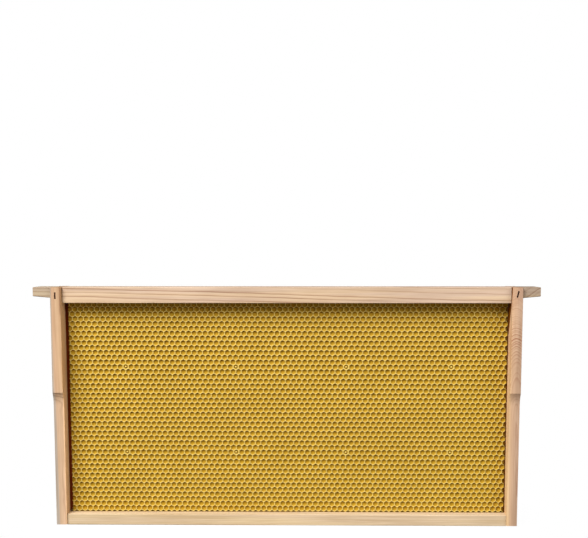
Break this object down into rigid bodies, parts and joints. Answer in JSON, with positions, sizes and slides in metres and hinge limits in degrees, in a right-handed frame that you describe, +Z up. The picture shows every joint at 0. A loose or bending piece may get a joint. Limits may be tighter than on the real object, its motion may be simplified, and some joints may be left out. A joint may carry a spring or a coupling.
{
  "type": "wooden hive frame",
  "caption": "Wooden hive frame with self-spacing end bars, lugs at both ends of the top bar and a yellow moulded comb foundation sheet held in grooves.",
  "frame": {"origin": "under the middle of the bottom bar, on the surface that the frame stands on", "axes": "+X along the top bar to the right lug, -Y the front face, +Z up"},
  "size_m": [0.4826, 0.035, 0.232],
  "materials": {
    "pine": "planed, unfinished",
    "foundation": "moulded, wax coated",
    "staple": "galvanised wire, dulled"
  },
  "bodies": {
    "bars": {"top_bar": "pine", "end_bar_left": "pine", "end_bar_right": "pine", "bottom_bar": "pine", "staple_ear_front_left": "staple", "staple_ear_front_right": "staple", "staple_ear_back_left": "staple", "staple_ear_back_right": "staple", "staple_top_left": "staple", "staple_top_right": "staple", "staple_bottom_left": "staple", "staple_bottom_right": "staple"},
    "sheet": {"foundation_sheet": "foundation"}
  },
  "joints": [
    {"name": "sheet_float", "type": "slide", "parent": "bars", "child": "sheet", "axis": [1, 0, 0], "range_m": [-0.0025, 0.0004]}
  ]
}
